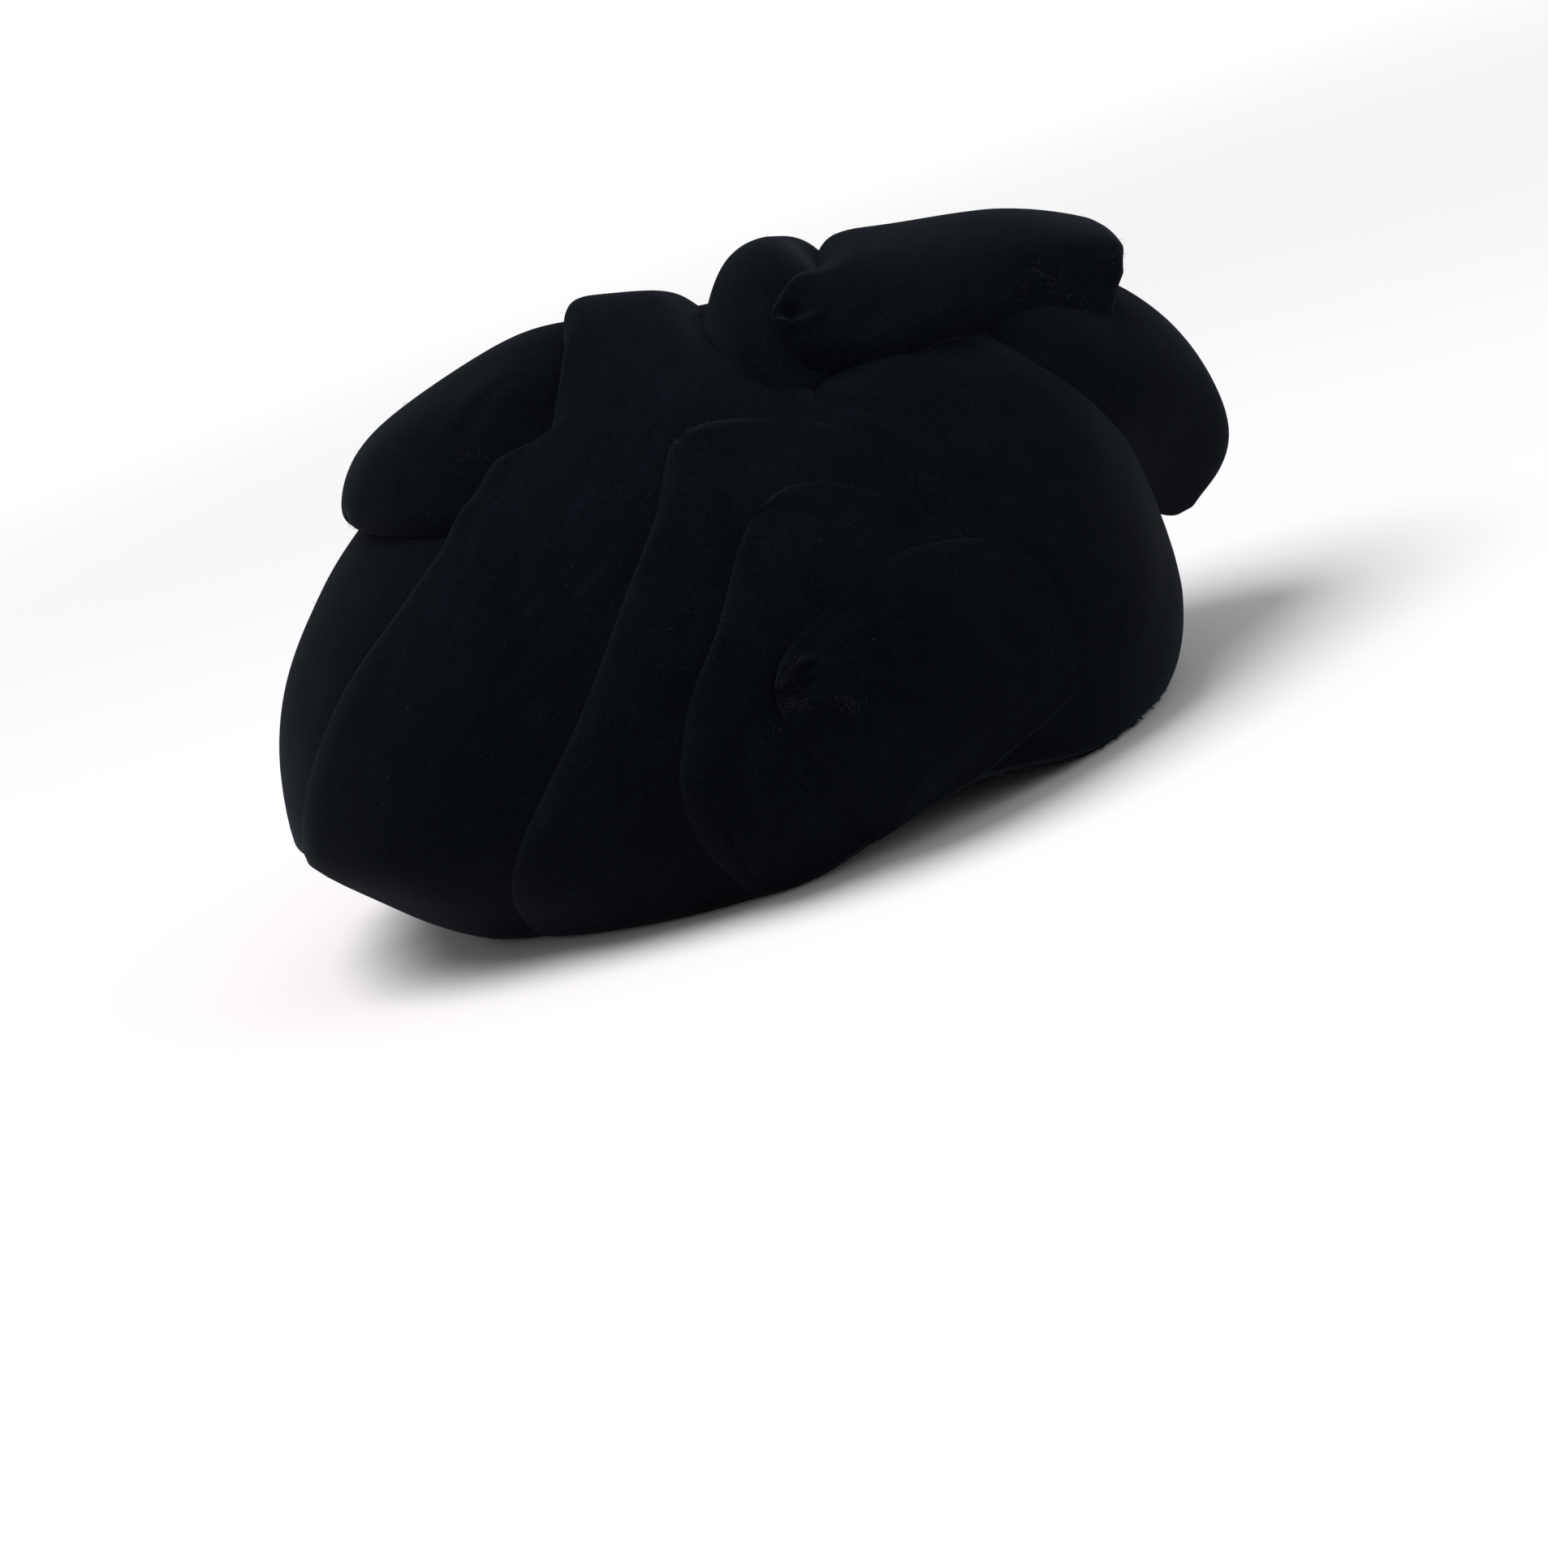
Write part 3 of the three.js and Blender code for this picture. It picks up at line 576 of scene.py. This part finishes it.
# length, and thick, the radius at the root, are in millimetres. curl: how far a fibre bends aside, as a share
# of its length. lean: how much its direction has of the way straight out from the cap, and spread how much of
# a random one. height: where its root lies over the petals, and end where the aim of a combed one does
fibres = {
    "seed": 5,
    "joints": 6,  # points along a fibre
    "taper": 0.9,  # share of its thickness that it loses to the point
    "twist": 0.5,  # how far it leaves the plane of its curl
    "lowest": 0.08,  # no fibre comes nearer to the floor
    "pile": {"count": 2600, "length": (0.35, 0.9), "thick": 0.05, "curl": 0.5, "spread": 0.5},
    "tuft": {"length": (0.6, 1.8), "thick": 0.045, "curl": 0.8, "lean": 0.5, "spread": 0.7, "height": -0.1},
    "combed": {"length": (1.5, 4.5), "thick": 0.035, "curl": 0.5, "spread": 0.12, "height": -0.1, "end": 0.1},
    "lint": {"count": 110, "length": (0.6, 2.6), "thick": 0.08, "curl": 1.1, "lean": 0.15, "height": 0.15,
             "rises": (-0.1, 0.95)},  # cosines of the falls between which it lies
    "fray": {"count": 420, "length": (0.6, 1.5), "thick": 0.1, "curl": 0.3, "spread": 0.2, "height": 1.2,
             "from": -62, "to": -8, "clumps": 34, "clumpWidth": 0.22, "down": 0.7},
}
# Each tuft: kind of fibre, how many, a path of azimuths and elevations, how far it spreads in degrees, and
# for a combed one the step in azimuth and elevation along which its fibres lie
tufts = [
    ("tuft", 110, [(-16, 38), (-13, 36.5), (-10.5, 34), (-10, 31.5), (-8, 29.5)], 0.6, None),
    ("tuft", 40, [(-19, 37.5), (-16, 36), (-14, 33)], 0.5, None),
    ("tuft", 70, [(-6, 30.5), (-3, 30), (0, 29.5)], 0.5, None),
    ("tuft", 50, [(-102.2, -19.5), (-101, -21.5), (-99.5, -21)], 0.4, None),
    ("tuft", 60, [(-91.5, 46.5), (-86, 48), (-82, 48.5)], 0.4, None),
    ("tuft", 40, [(-86, 31), (-83, 32)], 0.4, None),
    ("tuft", 40, [(-137, 53), (-141, 52)], 0.4, None),
    ("tuft", 90, [(-172, 40.5), (-160, 40.5), (-148, 40)], 0.4, None),
    ("combed", 110, [(-88.2, 9.8), (-88.4, 7.8), (-87.6, 5.6)], 0.6, (1.0, 0.06)),
    ("combed", 45, [(-84, 11.2), (-86.6, 10.6), (-88.2, 9)], 0.25, (1.0, 0.35)),
    ("tuft", 60, [(-87, 8), (-85.5, 7.4), (-84, 6)], 1.2, None),
    ("tuft", 50, [(-82.4, 5.6), (-81, 4.4), (-79.6, 2.6)], 0.7, None),
    ("combed", 24, [(-81.6, 5), (-80.4, 3)], 0.7, (0.5, -1.0)),
]


def overPetals(azimuth, fall, height):  # a point this high over the outermost petal, by the cells around it
    top = sum(part * cover[spot] for spot, part in cellsAround(onRaster(toChart(azimuth, fall))))
    return surfacePoint(azimuth, fall, top + height)


def unit(vectors):  # vectors divided by their lengths
    return vectors / np.maximum(np.linalg.norm(vectors, axis=-1, keepdims=True), 1e-9)


def fibreArrays(kind, starts, ways, random):
    # A fibre's line: start + length * (t * way + curl * (t^2 * bend + twist * t^3 * across)), carried along
    # by a triangle that shrinks to a point
    count, joints = len(starts), fibres["joints"]
    length = random.uniform(*kind["length"], (count, 1, 1))
    ways = unit(ways)[:, None]
    bend = unit(np.cross(ways, random.normal(size=(count, 1, 3))))
    across = np.cross(ways, bend)
    t = np.linspace(0, 1, joints)[None, :, None]
    curl = kind["curl"] * random.uniform(-1, 1, (count, 1, 1))
    aside = t ** 2 * bend + fibres["twist"] * t ** 3 * across
    line = starts[:, None] + length * (t * ways + curl * aside)
    turn = np.arange(3)[None, None, :, None] * 2 * np.pi / 3
    closed = np.array([0] + [1] * (joints - 2) + [0])[:, None, None]  # both ends are points
    radius = kind["thick"] * (1 - fibres["taper"] * t)[..., None] * closed
    line[..., 2] = np.maximum(line[..., 2], fibres["lowest"] + kind["thick"])
    rings = line[:, :, None] + radius * (np.cos(turn) * bend[:, :, None] + np.sin(turn) * across[:, :, None])
    number = np.arange(count * joints * 3).reshape(count, joints, 3)
    number[:, 0] = number[:, 0, :1]
    number[:, -1] = number[:, -1, :1]
    after = np.roll(number, -1, 2)
    quads = np.stack([number[:, :-1], after[:, :-1], after[:, 1:], number[:, 1:]], -1)
    return rings.reshape(-1, 3), quads.reshape(-1, 4)


def pileRoots(kind, random):  # random points of the petals' edges, with fibres that point out from them
    points = np.concatenate([border[0] for border in borders])
    away = np.concatenate([border[1] for border in borders])
    some = random.integers(0, len(points) - 1, kind["count"])
    return kind, points[some], unit(away[some]) + kind["spread"] * random.normal(size=(len(some), 3))


def tuftRoots(kind, count, path, wide, step, random):
    # Points scattered round a path. Their fibres lean out at random, or lie along a step over the petals
    path = np.array(path, float)
    at = random.uniform(0, len(path) - 1, count)
    azimuth = np.interp(at, range(len(path)), path[:, 0]) + random.normal(size=count) * wide
    fall = 90 - np.interp(at, range(len(path)), path[:, 1]) + random.normal(size=count) * wide
    starts = overPetals(azimuth, fall, kind["height"])
    if step is None:
        ways = kind["lean"] * outward(azimuth, fall)
    else:
        ways = unit(overPetals(azimuth + step[0], fall - step[1], kind["end"]) - starts)
    return kind, starts, ways + kind["spread"] * random.normal(size=(count, 3))


def lintRoots(kind, random):  # points all over the hat, evenly by area on a ball, with fibres that lie flat
    azimuth = random.uniform(-180, 180, kind["count"])
    fall = np.degrees(np.arccos(random.uniform(*kind["rises"], len(azimuth))))
    normal = outward(azimuth, fall)
    flat = np.cross(normal, random.normal(size=(len(azimuth), 3)))
    return kind, overPetals(azimuth, fall, kind["height"]), flat + kind["lean"] * normal


def frayRoots(kind, random):  # the cut edge at the front has frayed into clumps, which hang out and down
    clump = random.uniform(kind["from"], kind["to"], kind["clumps"])
    azimuth = clump[random.integers(0, kind["clumps"], kind["count"])]
    azimuth = azimuth + kind["clumpWidth"] * random.normal(size=kind["count"])
    fall = edgeFall(azimuth, 2 * lap["rimGap"])
    ways = outward(azimuth, fall) + [0, 0, -kind["down"]]
    ways = ways + kind["spread"] * random.normal(size=(len(azimuth), 3))
    return kind, surfacePoint(azimuth, fall, np.full(len(azimuth), kind["height"])), ways


def makeFibres():  # all the fibres' tubes in one mesh
    random = np.random.default_rng(fibres["seed"])
    batches = [pileRoots(fibres["pile"], random)]
    for kind, count, path, wide, step in tufts:
        batches.append(tuftRoots(fibres[kind], count, path, wide, step, random))
    batches.append(lintRoots(fibres["lint"], random))
    batches.append(frayRoots(fibres["fray"], random))
    made = [fibreArrays(kind, starts, ways, random) for kind, starts, ways in batches]
    first = np.cumsum([0] + [len(points) for points, _ in made[:-1]])
    points = np.concatenate([points for points, _ in made])
    quads = np.concatenate([quads + start for (_, quads), start in zip(made, first)])
    return meshFrom("pile_fibres", points, quads, points[:, :2] / layUnit)


fibrePiece = makeFibres()
print("fibres", len(fibrePiece.data.polygons))


# Materials

class Wire:  # a socket that takes part in sums: each operator adds its Math node
    def __init__(self, board, socket):
        self.board = board
        self.socket = socket

    def maths(self, operation, left, right):  # left and right are wires or numbers
        return self.board.node("ShaderNodeMath", {"operation": operation}, {0: left, 1: right})

    def __add__(self, other):
        return self.maths("ADD", self, other)

    def __radd__(self, other):
        return self.maths("ADD", other, self)

    def __mul__(self, other):
        return self.maths("MULTIPLY", self, other)

    def __rmul__(self, other):
        return self.maths("MULTIPLY", other, self)

    def beside(self, output):  # another output of the same node
        return Wire(self.board, self.socket.node.outputs[output])


class Board:  # the node tree of one material
    def __init__(self, name):
        self.material = bpy.data.materials.new(name)
        self.material.use_nodes = True
        self.tree = self.material.node_tree
        self.tree.nodes.clear()

    def node(self, kind, settings=None, inputs=None, output=0):  # inputs: values or links, by name or number
        made = self.tree.nodes.new(kind)
        for key, value in (settings or {}).items():
            setattr(made, key, value)
        for key, value in (inputs or {}).items():
            named = [socket for socket in made.inputs if socket.enabled and socket.name == key]
            socket = made.inputs[key] if isinstance(key, int) else named[0]
            if isinstance(value, Wire):
                self.tree.links.new(value.socket, socket)
            else:
                socket.default_value = value
        shown = [socket for socket in made.outputs if socket.enabled]
        return Wire(self, shown[output]) if shown else None

    def noise(self, at, scale, detail=2.0, roughness=0.5, distortion=0.0):  # clouds that lie round 0.5
        return self.node("ShaderNodeTexNoise", {}, {
            "Vector": at, "Scale": scale, "Detail": detail, "Roughness": roughness, "Distortion": distortion})

    def mix(self, share, first, second):  # first + (second - first) * share
        return self.node("ShaderNodeMix", {"data_type": "RGBA"}, {"Factor": share, "A": first, "B": second})

    def remap(self, value, fromLow, fromHigh, toLow, toHigh):  # one range to the other, clamped
        return self.node("ShaderNodeMapRange", {}, {
            "Value": value, "From Min": fromLow, "From Max": fromHigh, "To Min": toLow, "To Max": toHigh})

    def bump(self, strength, distance, height, under=None):  # tilts the normal, on top of another bump
        inputs = {"Strength": strength, "Distance": distance, "Height": height}
        if under is not None:
            inputs["Normal"] = under
        return self.node("ShaderNodeBump", {}, inputs)

    def close(self, surface):  # the surface goes to the output, and the material is done
        self.node("ShaderNodeOutputMaterial", {}, {"Surface": surface})
        return self.material


# Each noise: scale, detail, roughness and distortion. Each bump: strength, and distance in metres
velvet = {
    "deep": (0.0013, 0.0020, 0.0031, 1), "worn": (0.0028, 0.0038, 0.0060, 1),
    "wear": (0.36, 0.66),  # noise from which the cloth is all deep, and from which it is all worn
    "sheen": 0.036, "sheenRoughness": 0.38, "sheenTint": (0.68, 0.82, 1.0, 1),
    "specular": 0.02, "roughness": (0.82, 1.0),
    "stroke": (3.0, 1.6, 1.0),  # the brushed pattern is drawn out along the petal
    "brushed": (5.0, 3.0, 0.55, 0.3), "brushedShare": 0.45,
    "crushed": (38.0, 3.0, 0.55), "crushedBump": (0.25, 0.0012),
    "pile": (1900.0, 1.0, 0.5), "pileBump": (0.35, 0.0004),
    "grain": (0.55, 1.25),  # by which the pile darkens and lightens the colour
    "middle": (0.3, 0.7),  # the range in which nearly all of a noise lies
}
lining = {
    "thread": (0.0022, 0.0027, 0.0037, 1), "light": (0.0060, 0.0068, 0.0088, 1),
    "threads": 900.0,  # radians of the weave's waves to a unit of the surface coordinates
    "cloud": (7.0, 3.0, 0.6), "weaveShare": 0.5, "shade": (0.1, 0.9),
    "bump": (0.4, 0.0003), "roughness": 0.9, "specular": 0.06,
}
fibreFinish = {
    "dark": (0.006, 0.008, 0.013, 1), "pale": (0.030, 0.032, 0.042, 1),
    "cloud": (90.0, 1.0), "shade": (0.35, 0.65), "roughness": 0.8, "specular": 0.1,
}


def velvetMaterial():  # deep to worn by a brushed and a crushed noise, times the pile's grain, with a sheen
    board = Board("velvet")
    place = board.node("ShaderNodeTexCoord", output=3)
    lay = board.node("ShaderNodeUVMap", {"uv_map": "lay"})
    stroked = board.node("ShaderNodeMapping", {}, {"Vector": lay, "Scale": velvet["stroke"]})
    brushed = board.noise(stroked, *velvet["brushed"])
    crushed = board.noise(place, *velvet["crushed"])
    pile = board.noise(place, *velvet["pile"])
    wear = brushed * velvet["brushedShare"] + crushed * (1 - velvet["brushedShare"])
    colour = board.mix(board.remap(wear, *velvet["wear"], 0.0, 1.0), velvet["deep"], velvet["worn"])
    grain = board.remap(pile, *velvet["middle"], *velvet["grain"])
    colour = board.node("ShaderNodeVectorMath", {"operation": "SCALE"}, {"Vector": colour, "Scale": grain})
    bump = board.bump(*velvet["pileBump"], pile)
    bump = board.bump(*velvet["crushedBump"], crushed, bump)
    return board.close(board.node("ShaderNodeBsdfPrincipled", {}, {
        "Base Color": colour, "Roughness": board.remap(crushed, *velvet["middle"], *velvet["roughness"]),
        "Specular IOR Level": velvet["specular"], "Sheen Weight": velvet["sheen"],
        "Sheen Roughness": velvet["sheenRoughness"], "Sheen Tint": velvet["sheenTint"], "Normal": bump}))


def liningMaterial():  # a plain weave, sin(across) * sin(along), under a cloudy noise
    board = Board("lining")
    lay = board.node("ShaderNodeUVMap", {"uv_map": "lay"})
    across = board.node("ShaderNodeSeparateXYZ", {}, {"Vector": lay})
    waves = [board.node("ShaderNodeMath", {"operation": "SINE"}, {0: way * lining["threads"]})
             for way in (across, across.beside(1))]
    weave = waves[0] * waves[1]
    shade = weave * lining["weaveShare"] + board.noise(lay, *lining["cloud"])
    colour = board.mix(board.remap(shade, *lining["shade"], 0.0, 1.0), lining["thread"], lining["light"])
    return board.close(board.node("ShaderNodeBsdfPrincipled", {}, {
        "Base Color": colour, "Roughness": lining["roughness"], "Specular IOR Level": lining["specular"],
        "Normal": board.bump(*lining["bump"], weave)}))


def fibreMaterial():  # dark to pale by a noise
    board = Board("fibre")
    place = board.node("ShaderNodeTexCoord", output=3)
    shade = board.remap(board.noise(place, *fibreFinish["cloud"]), *fibreFinish["shade"], 0.0, 1.0)
    return board.close(board.node("ShaderNodeBsdfPrincipled", {}, {
        "Base Color": board.mix(shade, fibreFinish["dark"], fibreFinish["pale"]),
        "Roughness": fibreFinish["roughness"], "Specular IOR Level": fibreFinish["specular"]}))


print("materials")
velvetFinish = velvetMaterial()
crownPiece.data.materials.append(liningMaterial())
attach(crownPiece, "root")
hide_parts("crown")
fibrePiece.data.materials.append(fibreMaterial())
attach(fibrePiece, "root")
for name, piece in pieces.items():
    piece.data.materials.append(velvetFinish)
    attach(piece, "root")
    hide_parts(name + "_petal")


# The stage: a pale floor that fades into a white surround, soft light, and the photograph's camera

stage = {
    "floor": (0.80, 0.80, 0.80, 1), "floorRoughness": 0.9, "floorSpecular": 0.1,
    "floorRadius": 1.2, "floorCorners": 96, "fadeFrom": 0.45, "fadeTo": 1.14,
    "surround": 1.0, "surroundLight": 0.43,  # what the camera sees of it is white, and its light is dimmer
    "aim": (0, 0, 0.05),  # the point in metres that both lamps face
    "key": {"power": 44.0, "size": 1.6, "from": (-0.6, -0.28, 1.98), "colour": (1.0, 0.955, 1.0)},
    "fill": {"power": 6.5, "size": 1.4, "from": (1.3, -0.6, 0.7), "colour": (0.96, 1.0, 1.0)},
}
# roll and elevation are in degrees, distance in millimetres. rim is the pixel at which the middle of the
# opening is seen, and frame the size of the whole picture
camera = {
    "roll": 20.0, "elevation": 13.7, "distance": 1100.0, "pixelsPerMm": 5.0,
    "rim": (991.0, 987.6), "frame": (1907.0, 1932.0), "sensor": 36.0, "clip": (0.05, 20.0),
}


def makeFloor():  # a flat disc whose alpha falls from 1 to 0 with the distance from the middle
    around = np.linspace(0, 2 * np.pi, stage["floorCorners"], endpoint=False)
    corners = np.stack([np.cos(around), np.sin(around), np.zeros_like(around)], -1) * stage["floorRadius"]
    mesh = bpy.data.meshes.new("floor")
    mesh.from_pydata(corners.tolist(), [], [list(range(len(corners)))])
    floor = bpy.data.objects.new("floor", mesh)
    bpy.context.scene.collection.objects.link(floor)
    board = Board("floor")
    place = board.node("ShaderNodeTexCoord", output=3)
    reach = board.node("ShaderNodeVectorMath", {"operation": "LENGTH"}, {"Vector": place})
    fade = board.remap(reach, stage["fadeFrom"], stage["fadeTo"], 1.0, 0.0)
    mesh.materials.append(board.close(board.node("ShaderNodeBsdfPrincipled", {}, {
        "Base Color": stage["floor"], "Roughness": stage["floorRoughness"],
        "Specular IOR Level": stage["floorSpecular"], "Alpha": fade})))


def areaLight(name):  # a round lamp that faces the aim
    settings = stage[name]
    lamp = bpy.data.lights.new(name, "AREA")
    lamp.shape = "DISK"
    lamp.energy = settings["power"]
    lamp.size = settings["size"]
    lamp.color = settings["colour"]
    light = bpy.data.objects.new(name, lamp)
    light.location = settings["from"]
    way = Vector(stage["aim"]) - Vector(settings["from"])
    light.rotation_euler = way.to_track_quat("-Z", "Y").to_euler()
    bpy.context.scene.collection.objects.link(light)


def makeCamera():
    # It looks along back, level but for its elevation, and is rolled about that. The middle of the opening is
    # seen at rim, and the focal length gives the pixels per millimetre at the distance
    roll, rise = math.radians(camera["roll"]), math.radians(camera["elevation"])
    level, up = np.array([1.0, 0, 0]), np.array([0, math.sin(rise), math.cos(rise)])
    back = np.array([0, -math.cos(rise), math.sin(rise)])
    right = math.cos(roll) * level - math.sin(roll) * up
    top = math.sin(roll) * level + math.cos(roll) * up
    width, height = camera["frame"]
    offset = np.array(camera["rim"]) - [width / 2, height / 2]
    target = (-offset[0] * right + offset[1] * top) / camera["pixelsPerMm"]
    eye = toFrame(target + back * camera["distance"])
    data = bpy.data.cameras.new("camera")
    data.sensor_width = camera["sensor"]
    data.lens = camera["pixelsPerMm"] * camera["distance"] * camera["sensor"] / height
    data.clip_start, data.clip_end = camera["clip"]
    view = bpy.data.objects.new("camera", data)
    turned = np.stack([right, top, back], 1).tolist()
    view.matrix_world = Matrix([[*row, place] for row, place in zip(turned, eye)] + [[0, 0, 0, 1]])
    bpy.context.scene.collection.objects.link(view)
    bpy.context.scene.camera = view


def makeSurround():  # an even white world: surroundLight, or surround where the camera sees it
    world = bpy.data.worlds.new("surround")
    world.use_nodes = True
    nodes, links = world.node_tree.nodes, world.node_tree.links
    nodes["Background"].inputs["Color"].default_value = (1, 1, 1, 1)
    path = nodes.new("ShaderNodeLightPath")
    strength = nodes.new("ShaderNodeMapRange")
    strength.inputs["To Min"].default_value = stage["surroundLight"]
    strength.inputs["To Max"].default_value = stage["surround"]
    links.new(path.outputs["Is Camera Ray"], strength.inputs["Value"])
    links.new(strength.outputs["Result"], nodes["Background"].inputs["Strength"])
    bpy.context.scene.world = world


print("stage, light and camera")
makeFloor()
areaLight("key")
areaLight("fill")
makeCamera()
makeSurround()
bpy.context.scene.view_settings.view_transform = "Standard"
